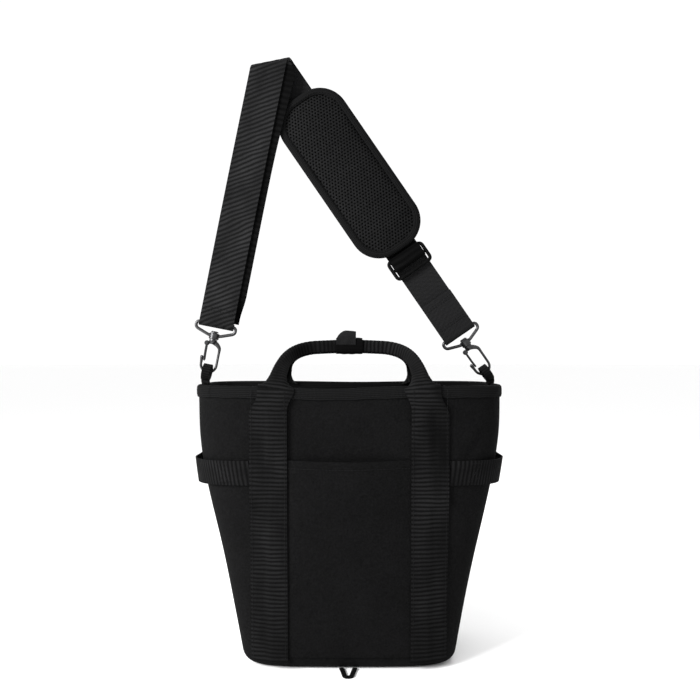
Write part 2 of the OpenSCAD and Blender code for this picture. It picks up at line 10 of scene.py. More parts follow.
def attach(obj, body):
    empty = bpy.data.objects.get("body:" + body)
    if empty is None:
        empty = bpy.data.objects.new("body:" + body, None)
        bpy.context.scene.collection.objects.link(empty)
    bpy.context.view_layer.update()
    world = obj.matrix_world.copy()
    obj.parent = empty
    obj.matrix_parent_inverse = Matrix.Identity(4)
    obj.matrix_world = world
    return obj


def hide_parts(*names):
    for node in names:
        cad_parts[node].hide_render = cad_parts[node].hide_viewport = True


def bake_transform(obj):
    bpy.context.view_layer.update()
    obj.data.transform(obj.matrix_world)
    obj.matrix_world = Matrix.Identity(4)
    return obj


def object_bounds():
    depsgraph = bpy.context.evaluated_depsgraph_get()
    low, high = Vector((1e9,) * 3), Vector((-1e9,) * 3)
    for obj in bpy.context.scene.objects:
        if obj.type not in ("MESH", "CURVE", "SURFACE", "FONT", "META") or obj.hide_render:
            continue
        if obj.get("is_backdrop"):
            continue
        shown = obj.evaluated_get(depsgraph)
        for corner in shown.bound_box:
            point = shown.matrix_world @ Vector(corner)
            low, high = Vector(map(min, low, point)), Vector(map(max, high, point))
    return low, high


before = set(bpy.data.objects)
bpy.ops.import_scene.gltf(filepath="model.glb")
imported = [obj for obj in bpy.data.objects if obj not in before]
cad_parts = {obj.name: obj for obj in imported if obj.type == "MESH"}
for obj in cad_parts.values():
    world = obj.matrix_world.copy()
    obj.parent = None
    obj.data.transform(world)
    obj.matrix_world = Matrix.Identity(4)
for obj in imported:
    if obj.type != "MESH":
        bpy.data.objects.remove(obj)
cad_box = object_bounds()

# All sizes below are in millimetres unless they say otherwise. Meshes are written in metres.
MM = 0.001

# ---- sizes shared with the CAD model ----
MOUTH_W, MOUTH_D, FOOT_D, BAG_H = 319.0, 152.0, 120.0, 290.0
SIDE_SLOPE, SHOULDER_Z, SHOULDER_SOFT, SQUARENESS = 0.2, 243.0, 25.0, 5.0
EDGE_R, WALL_T = 12.0, 1.6
POCKET_TOP, POCKET_BULGE = 216.0, 8.0
BAND_Z, BAND_W, BAND_BULGE = 190.0, 25.0, 7.0
WEB_W, WEB_T, LEG_X = 38.0, 1.6, 81.5
GRIP_Z, GRIP_Y, GRIP_HALF = 331.4, -6.4, 38.0
HANDLE_STEP, STRAP_STEP = 1.05, 1.1
BEND_Z, PIN_X, PIN_Z = -45.0, -6.2, -22.0  # centre of a hook's bend and pin of its gate, from its bar
PEAK = np.array([-84.5, 640.0])
LEFT_BAR = np.array([-146.2, 355.7])
RIGHT_BAR = np.array([121.8, 346.3])
PAD_L, PAD_W, PAD_AT, PAD_R = 205.0, 82.0, 215.0, 33.0
SLIDER_AT = 97.0
TAIL = 13.0
Y_OUT, Y_IN, FOLD_SPREAD, TURN_R = 7.55, 5.65, 5.0, 3.3
BAR_Y = Y_OUT - TURN_R
LEFT_TILT = atan2(PEAK[0] - FOLD_SPREAD - LEFT_BAR[0], PEAK[1] - LEFT_BAR[1])
RIGHT_TILT = atan2(PEAK[0] + FOLD_SPREAD - RIGHT_BAR[0], PEAK[1] - RIGHT_BAR[1])
FOLD_TILT = (LEFT_TILT + RIGHT_TILT) / 2
FOLD_HALF = (LEFT_TILT - RIGHT_TILT) / 2
BEND_R = 8.6
RIB = 4.3  # length of one light and dark band of the webbing
FORWARD = np.array([0, -1, 0])
SLIDER_BEND = 2.3 + WEB_T / 2  # radius of the webbing's middle round the slider's bar


# ---- mesh helpers ----

def linked(name, data):
    obj = bpy.data.objects.new(name, data)
    bpy.context.scene.collection.objects.link(obj)
    return obj


def new_object(name, solid, look, body=None, *nodes, sharp=40):
    """An object from points, faces and uvs in millimetres, that stands for nodes and rides on a body.

    Each point has one uv pair.
    """
    verts, faces, uvs = solid
    mesh = bpy.data.meshes.new(name)
    mesh.from_pydata((np.asarray(verts, float) * MM).tolist(), [], faces)
    if uvs:
        layer = mesh.uv_layers.new(name="UVMap")
        index = np.empty(len(mesh.loops), dtype=np.int32)
        mesh.loops.foreach_get("vertex_index", index)
        layer.data.foreach_set("uv", (np.asarray(uvs, float)[index] * MM).ravel())
    mesh.shade_smooth()
    mesh.set_sharp_from_angle(angle=radians(sharp))
    mesh.validate()
    mesh.materials.append(MATERIAL[look])
    obj = linked(name, mesh)
    if nodes:
        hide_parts(*nodes)
    if body:
        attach(obj, body)
    return obj


def sheet_mesh(at, us, vs, thick, ring=False):
    """Closed slab: at(u, v, h) gives a point at height h over the middle surface."""
    us, vs = list(us), list(vs)
    n, m = len(us), len(vs)
    verts, uvs = [], []
    for h in (thick / 2, -thick / 2):
        for v in vs:
            for u in us:
                verts.append(at(u, v, h))
                uvs.append((u, v))
    size = n * m
    faces = []
    last = n if ring else n - 1
    for j in range(m - 1):
        for i in range(last):
            k = (i + 1) % n
            a, b, c, d = j * n + i, j * n + k, (j + 1) * n + k, (j + 1) * n + i
            faces.append((a, b, c, d))
            faces.append((a + size, d + size, c + size, b + size))
    for j, flip in ((0, True), (m - 1, False)):
        for i in range(last):
            k = (i + 1) % n
            a, b = j * n + i, j * n + k
            face = (a, b, b + size, a + size)
            faces.append(face[::-1] if flip else face)
    if not ring:
        for i, flip in ((0, False), (n - 1, True)):
            for j in range(m - 1):
                a, b = j * n + i, (j + 1) * n + i
                face = (a, b, b + size, a + size)
                faces.append(face[::-1] if flip else face)
    return verts, faces, uvs


def flipped(faces):
    return [face[::-1] for face in faces]


def sheet(name, at, us, vs, thick, look, body, node, uv_scale=(1, 1), flip=False):
    """Object from sheet_mesh. uv_scale brings its uvs to millimetres, and flip turns its faces over."""
    verts, faces, uvs = sheet_mesh(at, us, vs, thick)
    uvs = [(u * uv_scale[0], v * uv_scale[1]) for u, v in uvs]
    return new_object(name, (verts, flipped(faces) if flip else faces, uvs), look, body, node)


def ring_faces(around, count, flip=False):
    """Faces between closed outlines of count points, set round a closed path of around stations."""
    faces = []
    for i in range(around):
        j = (i + 1) % around
        for k in range(count):
            n = (k + 1) % count
            face = (i * count + k, i * count + n, j * count + n, j * count + k)
            faces.append((face[0], face[3], face[2], face[1]) if flip else face)
    return faces


def clamp(t):
    return min(1.0, max(0.0, t))


def unit(way):
    return way / norm(way)


def directions(path, closed=False):
    """Unit vector along the path at each of its points."""
    path = np.asarray(path, float)
    ways = np.roll(path, -1, 0) - np.roll(path, 1, 0) if closed else np.gradient(path, axis=0)
    return ways / norm(ways, axis=1)[:, None]


def lengths(path):
    """Distance along the path to each of its points."""
    return np.concatenate([[0], np.cumsum(norm(np.diff(path, axis=0), axis=1))])


def sweep_mesh(path, radii, sides=12, closed=False):
    """Round tube along a path, with domed ends where it is open."""
    path = np.asarray(path, float)
    ways = directions(path, closed)
    side = np.cross(ways[0], (0.0, 1.0, 0.0))
    if norm(side) < 0.1:
        side = np.cross(ways[0], (1.0, 0.0, 0.0))
    stations = []
    for p, way, r, run in zip(path, ways, np.broadcast_to(radii, len(path)), lengths(path)):
        side = unit(side - way * side.dot(way))
        stations.append((p, side, np.cross(way, side), r, run))
    if not closed:
        p, s, u, r, t = stations[0]
        start = [(p - ways[0] * r * a, s, u, r * b, t) for a, b in ((0.87, 0.5), (0.5, 0.87))]
        p, s, u, r, t = stations[-1]
        end = [(p + ways[-1] * r * a, s, u, r * b, t) for a, b in ((0.5, 0.87), (0.87, 0.5))]
        stations = start + stations + end
    verts, uvs = [], []
    for p, s, u, r, t in stations:
        for k in range(sides):
            a = 2 * pi * k / sides
            verts.append(p + r * (cos(a) * s + sin(a) * u))
            uvs.append((r * a, t))
    faces = ring_faces(len(stations), sides)
    if not closed:
        last = (len(stations) - 1) * sides
        faces = faces[:last] + [tuple(reversed(range(sides))), tuple(range(last, last + sides))]
    return verts, faces, uvs


def lathe_mesh(profile, place=np.array, sides=40):
    """Closed ring of (radius, height) points turned about the local z axis, each put in place by place."""
    verts, uvs = [], []
    for k in range(sides):
        a = 2 * pi * k / sides
        for r, z in profile:
            verts.append(place((r * cos(a), r * sin(a), z)))
            uvs.append((r * a, z))
    return verts, ring_faces(sides, len(profile)), uvs


def joined(parts):
    """Several meshes as one set of points, faces and uvs."""
    verts, faces, uvs = [], [], []
    for v, f, t in parts:
        base = len(verts)
        verts.extend(v)
        uvs.extend(t)
        faces.extend(tuple(base + i for i in face) for face in f)
    return verts, faces, uvs


def rounded(points, r, steps=6, closed=False):
    """Path through points with each corner rounded to radius about r."""
    points = [np.asarray(p, float) for p in points]
    out = []
    count = len(points)
    for i, p in enumerate(points):
        if not closed and i in (0, count - 1):
            out.append(p)
            continue
        a, b = points[i - 1], points[(i + 1) % count]
        la, lb = norm(a - p), norm(b - p)
        cut = min(r, la * 0.48, lb * 0.48)
        p0, p1 = p + (a - p) / la * cut, p + (b - p) / lb * cut
        for k in range(steps + 1):
            t = k / steps
            out.append(p0 * (1 - t) ** 2 + p * 2 * t * (1 - t) + p1 * t * t)
    return out


def resampled(path, step, closed=False):
    path = np.asarray(path, float)
    if closed:
        path = np.vstack([path, path[:1]])
    along = lengths(path)
    count = max(2, int(round(along[-1] / step)) + 1)
    at = np.linspace(0, along[-1], count)
    out = np.stack([np.interp(at, along, path[:, k]) for k in range(path.shape[1])], 1)
    return out[:-1] if closed else out


def stitches(name, lines, body, every=3.2, length=2.2, radius=0.32):
    """Rows of thread. Each line is a list of (point, outward normal)."""
    parts = []
    for line in lines:
        both = np.array([[*point, *normal] for point, normal in line], float)
        along = lengths(both[:, :3])
        total = along[-1]
        count = int(total / every)
        for i in range(count):
            middle = (i + 0.5) * total / count
            ends = []
            for shift, lift in ((-length / 2, -0.25), (0, 0.12), (length / 2, -0.25)):
                s = min(max(middle + shift, 0), total)
                row = np.array([np.interp(s, along, both[:, k]) for k in range(6)])
                ends.append(row[:3] + unit(row[3:]) * lift)
            parts.append(sweep_mesh(ends, [radius * 0.7, radius, radius * 0.7], sides=6))
    new_object(name, joined(parts), "thread", body, sharp=80)


def seam(at, places, height=0.75, way=1):
    """One line of stitches along places (u, v) of a sheet, at a height over it. way -1 faces them inward."""
    line = []
    for u, v in places:
        p = at(u, v, height)
        line.append((p, at(u, v, height + way) - p))
    return line


# ---- materials ----

class Value:
    """Output of a shader node. Sums and products of values make arithmetic nodes."""

    def __init__(self, socket):
        self.socket = socket

    def op(self, kind, other=0.0):
        node = self.socket.id_data.nodes.new("ShaderNodeMath")
        node.operation = kind
        lead(self, node.inputs[0])
        lead(other, node.inputs[1])
        return Value(node.outputs[0])

    def __add__(self, other):
        return self.op("ADD", other)

    def __sub__(self, other):
        return self.op("SUBTRACT", other)

    def __mul__(self, other):
        return self.op("MULTIPLY", other)

    __rmul__ = __mul__

    def wave(self, period):
        """Sine from 0 to 1 of a value in metres, with its period in millimetres."""
        return 0.5 * (self * (2 * pi / (period * MM))).op("SINE") + 0.5


def lead(value, socket):
    """Give a socket a number, or a link from a Value."""
    if isinstance(value, Value):
        socket.id_data.links.new(value.socket, socket)
    else:
        socket.default_value = value


class Look:
    """A procedural material laid out in object or UV coordinates: its vector, and the vector's axes."""

    def __init__(self, name, rough, kind, output, metal=0.0):
        self.material = bpy.data.materials.new(name)
        self.material.use_nodes = True
        self.nodes = self.material.node_tree.nodes
        self.shader = self.nodes["Principled BSDF"].inputs
        lead(metal, self.shader["Metallic"])
        lead(rough, self.shader["Roughness"])
        lead(0.5 if metal else 0.03, self.shader["Specular IOR Level"])
        self.vector = Value(self.nodes.new(kind).outputs[output])
        split = self.nodes.new("ShaderNodeSeparateXYZ")
        lead(self.vector, split.inputs[0])
        self.axes = [Value(socket) for socket in split.outputs]

    def noise(self, scale, detail, rough=0.5, stretch=None):
        """Noise over the vector, which stretch first scales along its first two axes."""
        vector = self.vector
        if stretch:
            node = self.nodes.new("ShaderNodeVectorMath")
            node.operation = "MULTIPLY"
            node.inputs[1].default_value = (*stretch, 1)
            lead(vector, node.inputs[0])
            vector = Value(node.outputs[0])
        node = self.nodes.new("ShaderNodeTexNoise")
        for value, name in ((scale, "Scale"), (detail, "Detail"), (rough, "Roughness"), (vector, "Vector")):
            lead(value, node.inputs[name])
        return Value(node.outputs["Fac"])

    def finish(self, tone, stops, rough, height, depth):
        """Lead a tone to the colour through stops of (place, grey), and the rest to gloss and bump."""
        ramp = self.nodes.new("ShaderNodeValToRGB")
        for element, (place, grey) in zip(ramp.color_ramp.elements, stops):
            element.position = place
            element.color = (grey, grey, grey * 1.03, 1)
        lead(tone, ramp.inputs["Fac"])
        lead(Value(ramp.outputs["Color"]), self.shader["Base Color"])
        lead(rough, self.shader["Roughness"])
        bump = self.nodes.new("ShaderNodeBump")
        lead(1.0, bump.inputs["Strength"])
        lead(depth * MM, bump.inputs["Distance"])
        lead(height, bump.inputs["Height"])
        lead(Value(bump.outputs["Normal"]), self.shader["Normal"])
        return self.material


def fabric_material(name, dark, light):
    """Plain woven cloth: crossing threads, slubs, and slow patches of wear."""
    m = Look(name, 0.86, "ShaderNodeTexCoord", "Object")
    thread = 0.85
    slub = m.noise(260, 2)
    warp, weft = (m.axes[0] + m.axes[1]).wave(thread), m.axes[2].wave(thread)
    weave = (warp - weft).op("ABSOLUTE") * (slub + 0.5)
    patch = m.noise(22, 4, 0.6)
    mottle = m.noise(600, 3)
    tone = 0.35 * weave + 0.22 * patch + 0.48 * mottle
    return m.finish(tone, [(0.3, dark), (0.75, light)], 0.16 * patch + 0.76, weave + 0.6 * mottle, 0.16)


def webbing_material(name, dark, light, slope=0.0, period=RIB, calm=1.0):
    """Heavy webbing: cross bands that wander and fade, over fine warp and weft lines.

    calm is the share of the bands left where the second uv coordinate is below zero.
    """
    m = Look(name, 0.72, "ShaderNodeUVMap", "UV")
    across, length = m.axes[:2]
    drift = m.noise(1.0, 2, stretch=(24, 42))
    patches = m.noise(1.0, 2, stretch=(26, 14))
    angle = (slope * across + length) * (2 * pi / (period * MM)) + 7.0 * drift
    banded = (length * (1 / (8 * MM))).op("MAXIMUM", 0.0).op("MINIMUM", 1.0)
    strength = (2.2 * patches - 0.5) * ((1 - calm) * banded + calm)
    band = (0.5 * angle.op("SINE") + 0.5) * strength
    warp, pick = across.wave(1.25), length.wave(1.05)
    fuzz = m.noise(1100, 2)
    plain = -0.2 * (1 - calm) * banded + 0.2 * (1 - calm)
    tone = 0.62 * band + 0.12 * warp + 0.1 * pick + 0.3 * fuzz + plain
    height = 1.2 * band + 0.6 * warp + 0.6 * pick
    return m.finish(tone, [(0.18, dark), (0.95, light)], -0.14 * band + 0.82, height, 0.2)


def tape_material(name, dark, light):
    """Narrow ribbed binding tape."""
    m = Look(name, 0.78, "ShaderNodeUVMap", "UV")
    rib, cross = m.axes[0].wave(1.3), m.axes[1].wave(1.0)
    fuzz = m.noise(800, 2)
    tone = 0.4 * rib + 0.2 * cross + 0.4 * fuzz
    return m.finish(tone, [(0.25, dark), (0.85, light)], 0.15 * fuzz + 0.7, rib + cross, 0.14)


def plain_material(name, dark, light, rough, scale, depth, metal=0.0, patchy=0.5):
    """Noise in tone, gloss and height, for metal, foam, thread and board."""
    m = Look(name, rough, "ShaderNodeTexCoord", "Object", metal)
    fine, slow = m.noise(scale, 3), m.noise(scale / 12, 3)
    tone = (1 - patchy) * fine + patchy * slow
    return m.finish(tone, [(0.35, dark), (0.65, light)], 0.22 * slow + (rough - 0.11), fine, depth)


MATERIAL = {
    "fabric": fabric_material("woven_shell", 0.0011, 0.0072),
    "pocket": fabric_material("woven_pocket", 0.0009, 0.0072),
    "webbing": webbing_material("webbing", 0.0006, 0.0115),
    "strap": webbing_material("strap_webbing", 0.0012, 0.022, slope=0.62, period=5.4, calm=0.1),
    # Darker copy of the strap webbing: painted shade on the lower strap layer and the slider's tail, over the
    # webbing's reverse face.
    "shaded_under": webbing_material("strap_underside_painted_shade", 0.0005, 0.0034, period=6.4),
    "tape": tape_material("binding_tape", 0.0018, 0.0075),
    # Darker copy of the tape for the band round the grips: painted shade under the flap.
    "wrap": tape_material("wrap_tape", 0.0006, 0.0026),
    # Lighter copy of the tape for the flap on top of the grips: painted light.
    "flap": tape_material("flap_tape_painted_light", 0.004, 0.014),
    "thread": plain_material("thread", 0.004, 0.009, 0.6, 1500, 0.05),
    "mesh": plain_material("air_mesh", 0.0028, 0.0085, 0.7, 900, 0.06, patchy=0.12),
    # Near-black foam: painted shade at the bottoms of the air mesh's holes.
    "foam": plain_material("foam", 0.0006, 0.0016, 0.95, 500, 0.2),
    "metal": plain_material("dark_metal", 0.03, 0.06, 0.32, 350, 0.02, metal=0.9),
    # Near-black and not metallic, far darker than the hooks: a dark finish with painted shade from the pad
    # above.
    "shaded_black_metal": plain_material("shaded_black_metal", 0.001, 0.003, 0.5, 350, 0.02),
    "closure": plain_material("closure_pile", 0.003, 0.01, 0.9, 1800, 0.4),
    "board": plain_material("board", 0.004, 0.008, 0.6, 300, 0.05),
}

# ---- camera ----

def add_camera():
    data = bpy.data.cameras.new("camera")
    data.lens, data.sensor_width = 36.95, 36.0
    cam = linked("camera", data)
    tilt, distance, height = radians(-0.52), 0.7954, 0.3274
    cam.location = (0.0008, -distance * cos(tilt), height + distance * sin(tilt))
    cam.rotation_euler = (radians(90) - tilt, 0, 0)
    data.clip_start, data.clip_end = 0.01, 100
    bpy.context.scene.camera = cam


def add_light(name, place, aim, power, size):
    data = bpy.data.lights.new(name, "AREA")
    data.energy = power
    data.size = size
    light = linked(name, data)
    light.location = place
    light.rotation_euler = (Vector(aim) - Vector(place)).to_track_quat("-Z", "Y").to_euler()


def add_studio():
    ground = bpy.data.meshes.new("floor")
    count, radius = 64, 30.0
    angles = [2 * pi * k / count for k in range(count)]
    rim = [(radius * cos(a), radius * sin(a), 0) for a in angles]
    ground.from_pydata(rim, [], [tuple(range(count))])
    material = bpy.data.materials.new("floor")
    material.use_nodes = True
    shader = material.node_tree.nodes["Principled BSDF"]
    shader.inputs["Base Color"].default_value = (0.93, 0.93, 0.93, 1)
    shader.inputs["Roughness"].default_value = 0.8
    ground.materials.append(material)
    linked("floor", ground)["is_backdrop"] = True
    world = bpy.data.worlds.new("studio")
    world.use_nodes = True
    background = world.node_tree.nodes["Background"].inputs
    background["Color"].default_value = (1, 1, 1, 1)
    background["Strength"].default_value = 1.05
    bpy.context.scene.world = world
    add_light("key", (-0.95, -0.75, 0.75), (-0.02, 0, 0.3), 36, 0.55)
    add_light("rim", (0.6, 1.1, 1.4), (0, 0, 0.35), 8, 0.7)
    bpy.context.scene.view_settings.view_transform = "Standard"


# ---- surface of the bag ----

def ramp(t):
    return 0.5 * (t + hypot(t, SHOULDER_SOFT))


def edge_inset(z):
    return EDGE_R - sqrt(max(0.0, EDGE_R**2 - (EDGE_R - z) ** 2)) if z < EDGE_R else 0.0


def half_w(z):
    return MOUTH_W / 2 - SIDE_SLOPE * (ramp(SHOULDER_Z - z) - ramp(SHOULDER_Z - BAG_H)) - edge_inset(z)


def half_d(z):
    return (FOOT_D + (MOUTH_D - FOOT_D) * z / BAG_H) / 2 - edge_inset(z)


def crease(x, z, a, b, width, depth):
    """A soft valley along the line from a to b on the front."""
    ax, az = a
    bx, bz = b
    t = ((x - ax) * (bx - ax) + (z - az) * (bz - az)) / ((bx - ax) ** 2 + (bz - az) ** 2)
    t = clamp(t)
    far = hypot(x - ax - t * (bx - ax), z - az - t * (bz - az))
    return -depth * exp(-((far / width) ** 2))


def slack(x, y, z):
    """How far the cloth bows off its true shape at a point of the wall."""
    hold = sin(pi * clamp(z / BAG_H)) ** 0.6
    long = 1.1 * sin(0.021 * x + 1.3) * sin(0.019 * z + 0.5)
    slant = 0.7 * sin(0.045 * x - 0.03 * z + 2.0)
    side = 0.8 * sin(0.06 * y + 0.024 * z)
    total = hold * (long + slant + side)
    if y < 0:
        total += crease(x, z, (136, 243), (120, 219), 5.0, 1.6)
        total += crease(x, z, (-128, 236), (-112, 222), 6.0, 0.9)
    return total


def rim_sag(x, y, z):
    """The rim dips between the handles."""
    dip = 3.2 * exp(-(((x + 22) / 52) ** 2)) if y < 0 else 1.2 * exp(-(((x - 10) / 60) ** 2))
    return dip * max(0.0, z / BAG_H) ** 8


def finish_wall(x, y, z):
    """The slack and the sag, added to a point of the true wall."""
    out = slack(x, y, z)
    level = max(z, 1)
    nx, ny = (x / half_w(level)) ** 5, (y / half_d(level)) ** 5
    size = hypot(nx, ny)
    return np.array([x + out * nx / size, y + out * ny / size, z - rim_sag(x, y, z)])


def wall(q, z, off):
    """Point at place q round the bag: 0 to 1 is the front, 1 to 2 the right side, and so on."""
    q = q % 4
    a, b = half_w(z) + off, half_d(z) + off
    corners = [(-a, -b), (a, -b), (a, b), (-a, b), (-a, -b)]
    k = min(int(q), 3)
    t = q - k
    x = corners[k][0] * (1 - t) + corners[k + 1][0] * t
    y = corners[k][1] * (1 - t) + corners[k + 1][1] * t
    r = ((abs(x) / a) ** SQUARENESS + (abs(y) / b) ** SQUARENESS) ** (-1 / SQUARENESS)
    return finish_wall(x * r, y * r, z)


def face_point(x, z, off, side):
    """Point of the front (side -1) or back (side 1) at a given x."""
    a, b = half_w(z) + off, half_d(z) + off
    y = b * (1 - min(abs(x) / a, 0.999) ** SQUARENESS) ** (1 / SQUARENESS)
    return finish_wall(x, side * y, z)


def steps(a, b, size):
    count = max(1, int(round(abs(b - a) / size)))
    return [a + (b - a) * i / count for i in range(count + 1)]


def add_walls():
    """The four sewn panels as one sagging shell."""

    def at(u, v, h):
        return wall(u / 120, v, h - WALL_T / 2)

    heights = [1.1, 1.6, 2.4, 3.6, 5.2, 7.2, 9.6, 12.2] + steps(15, BAG_H - 4, 5.0)
    around = []
    for side, spacing in enumerate((1.5, 2.9, 1.5, 2.9)):
        around += [120 * side + i for i in steps(0, 119, spacing)[:-1]]
    verts, faces, _ = sheet_mesh(at, around, heights, WALL_T, ring=True)
    panels = ("front_panel", "right_gusset", "back_panel", "left_gusset")
    new_object("bag_shell", (verts, faces, [(0, p[2]) for p in verts]), "fabric", "bag", *panels)


def add_base():
    """Base cloth: a shallow dish that meets the walls, seen from below and inside."""
    around = 120
    rings = [(0.15, 0.0), (0.5, 0.0), (0.85, 0.0), (0.97, 0.0), (1.0, 0.25)]
    outline = [wall(4 * i / around, 0.5, -0.6) for i in range(around)]
    verts, faces, uvs = [], [], []
    for level in (0.02, 2.62):
        for share, z in rings:
            for p in outline:
                verts.append((p[0] * share, p[1] * share, z + level))
                uvs.append((p[0] * share, p[1] * share))
    top = len(rings) * around
    last = top - around
    for base in range(0, last, around):
        for i in range(around):
            j = (i + 1) % around
            a, b, c, d = base + i, base + j, base + around + j, base + around + i
            faces.append((a, b, c, d))
            faces.append((d + top, c + top, b + top, a + top))
    for i in range(last, top):
        j = i + 1 if i + 1 < top else last
        faces.append((i + top, j + top, j, i))
    faces.append(tuple(reversed(range(around))))
    faces.append(tuple(range(top, top + around)))
    new_object("base_cloth", (verts, faces, uvs), "fabric", "bag", "base_panel")


def add_binding():
    profile = [
        (0.3, 278.6), (1.5, 278.9), (1.9, 282.5), (1.9, 286.0), (1.5, 289.2), (0.2, 290.7),
        (-1.7, 290.9), (-3.2, 289.6), (-3.7, 286.0), (-3.6, 282.0), (-3.2, 278.9), (-2.0, 278.6),
        (-1.8, 287.0), (0.2, 287.0),
    ]
    around = 260
    verts, uvs = [], []
    for i in range(around):
        pucker = 0.25 * sin(i * 0.9) + 0.18 * sin(i * 2.3 + 1)
        for k, (off, z) in enumerate(profile):
            if z < 280:
                verts.append(wall(4 * i / around, z + pucker, off))
            else:
                verts.append(wall(4 * i / around, z, off + 0.12 * pucker))
            uvs.append((k * 2.4, 3.7 * i))
    tape = (verts, ring_faces(around, len(profile)), uvs)
    new_object("rim_tape", tape, "tape", "bag", "rim_binding", sharp=50)
    row = [(i / 60, 281.2) for i in range(241)]
    stitches("rim_stitches", [seam(wall, row, 1.75), seam(wall, row, -3.75, -1)], "bag")


def pocket_off(x, z):
    width = LEG_X - WEB_W / 2 - 1
    across = max(0.0, 1 - (x / width) ** 2)
    up = max(0.0, (z - 60) / (POCKET_TOP - 60))
    return POCKET_BULGE * across * sin(pi / 2 * up)


def add_pocket():
    half = LEG_X - 5

    def at(u, v, h):
        z = 14 + v
        hem = 0.55 * exp(-(((z - 208) / 6) ** 2)) if z > 196 else 0.0
        dip = 0.8 * exp(-((u / 40) ** 2)) * max(0.0, (z - 150) / 66)
        p = face_point(u, min(z, POCKET_TOP), 0.9 + h * (1 + hem) + pocket_off(u, z), -1)
        p[2] -= dip
        return p

    sheet("pocket_cloth", at, steps(-half, half, 4), steps(0, POCKET_TOP - 14, 4), 1.2,
          "pocket", "bag", "front_pocket")
    hem = POCKET_TOP - 14 - 8
    stitches("pocket_stitches", [[(at(x, hem, 0.75), FORWARD) for x in steps(-62, 62, 3)]], "bag")


def add_side_band(name, side, middle):
    """Webbing round one gusset, from the front leg to the rear leg, with a cross-stitched box at each end."""
    overlap = 0.33

    def at(u, v, h):
        s = v / 300
        q = middle + (-0.5 - overlap / 2) + (1 + overlap) * s
        z = BAND_Z + BAND_W / 2 - u
        swell = cos(pi * (s - 0.5)) ** 2
        lean = 1.2 * sin(4 * s + side) * (u / BAND_W) * swell
        lift = 1.1 + BAND_BULGE * min(1.0, 1.25 * swell) + lean
        return wall(q, z, lift + h)

    sheet(f"band_{name}", at, steps(-BAND_W / 2, BAND_W / 2, 2.5), steps(0, 300, 2.2), 1.4,
          "webbing", "bag", f"side_band_{name}")
    lines = []
    for v0, v1 in ((21, 33), (267, 279)):
        box = [(-10, v0), (10, v0), (10, v1), (-10, v1), (-10, v0), (10, v1), (10, v0), (-10, v1)]
        for (ua, va), (ub, vb) in zip(box, box[1:]):
            lines.append(seam(at, [(ua + (ub - ua) * k / 6, va + (vb - va) * k / 6) for k in range(7)]))
    stitches(f"band_stitches_{name}", lines, "bag", every=2.8, length=2.0)


# ---- carry handles ----

def rib(u, v):
    """Height of the webbing's cross ribs at u across it and v along it."""
    return 0.12 * sin(2 * pi * v / RIB + 0.8 * sin(u * 0.35 + v * 0.011))


def ribbed(u, v, h):
    """Height h with the cross ribs added to both faces of the webbing."""
    return h + rib(u, v) * copysign(1, h) if abs(h) > 0.5 else h


def bezier(p, t):
    return p[0] * (1 - t) ** 3 + 3 * p[1] * t * (1 - t) ** 2 + 3 * p[2] * t * t * (1 - t) + p[3] * t**3


def smooth(t):
    t = clamp(t)
    return t * t * (3 - 2 * t)


def leg_off(x, z, side):
    """Height of a leg's middle over the wall: flat on the cloth, up over the pocket, bands and binding."""
    low = 1.1 if side > 0 else 2.8 - 1.7 * smooth((abs(x) - 79) / 8)
    over = smooth((z - 262) / 14) + smooth((z - 165) / 9) * (1 - smooth((z - 207) / 9))
    return low + (2.8 - low) * min(1.0, over)


def handle_line(shift):
    """Left half of the front handle: points, and a stage for each.

    The stage is -1 flat on the leg, 0 at the rim and 1 at the grip.
    """
    points, rise = [], []
    for z in steps(9, BAG_H - 1, HANDLE_STEP):
        gathered = smooth((z - 262) / 27)
        points.append(face_point(-LEG_X + shift * gathered, z, 2.8, -1))
        rise.append(-1 + gathered)
    start = points[-1]
    bend, grip = np.array([-LEG_X + 11.5, -12.5, GRIP_Z - 5.4]), np.array([-GRIP_HALF, GRIP_Y, GRIP_Z - 1.6])
    curve = [start, start + (3.5, 6.5, 19), bend, grip]
    way = [bezier(curve, k / 200) for k in range(201)]
    along = lengths(way)
    for s in steps(0, along[-1], HANDLE_STEP)[1:]:
        k = np.interp(s, along, np.linspace(0, 1, 201))
        points.append(bezier(curve, k))
        rise.append(k)
    for x in steps(-GRIP_HALF, 0, HANDLE_STEP)[1:]:
        points.append(np.array([x, GRIP_Y, GRIP_Z - 0.2 - 1.4 * abs(x / GRIP_HALF) ** 1.5]))
        rise.append(1.0)
    return points, rise


def roll(a, fold):
    """Place (across, inward) and turn of the webbing at length a from its middle, as its edges fold over."""
    flat, top, bottom = 4.75, 2.4, 1.5
    r = top if a > 0 else bottom
    sign = 1 if a > 0 else -1
    n = 24
    x = y = 0.0
    ds = abs(a) / n
    for k in range(n):
        s = (k + 0.5) * ds
        turn = fold * min(max((s - flat) / r, 0.0), pi)
        x += sign * cos(turn) * ds
        y += sin(turn) * ds
    return x, y, fold * min(max((abs(a) - flat) / r, 0.0), pi) * sign


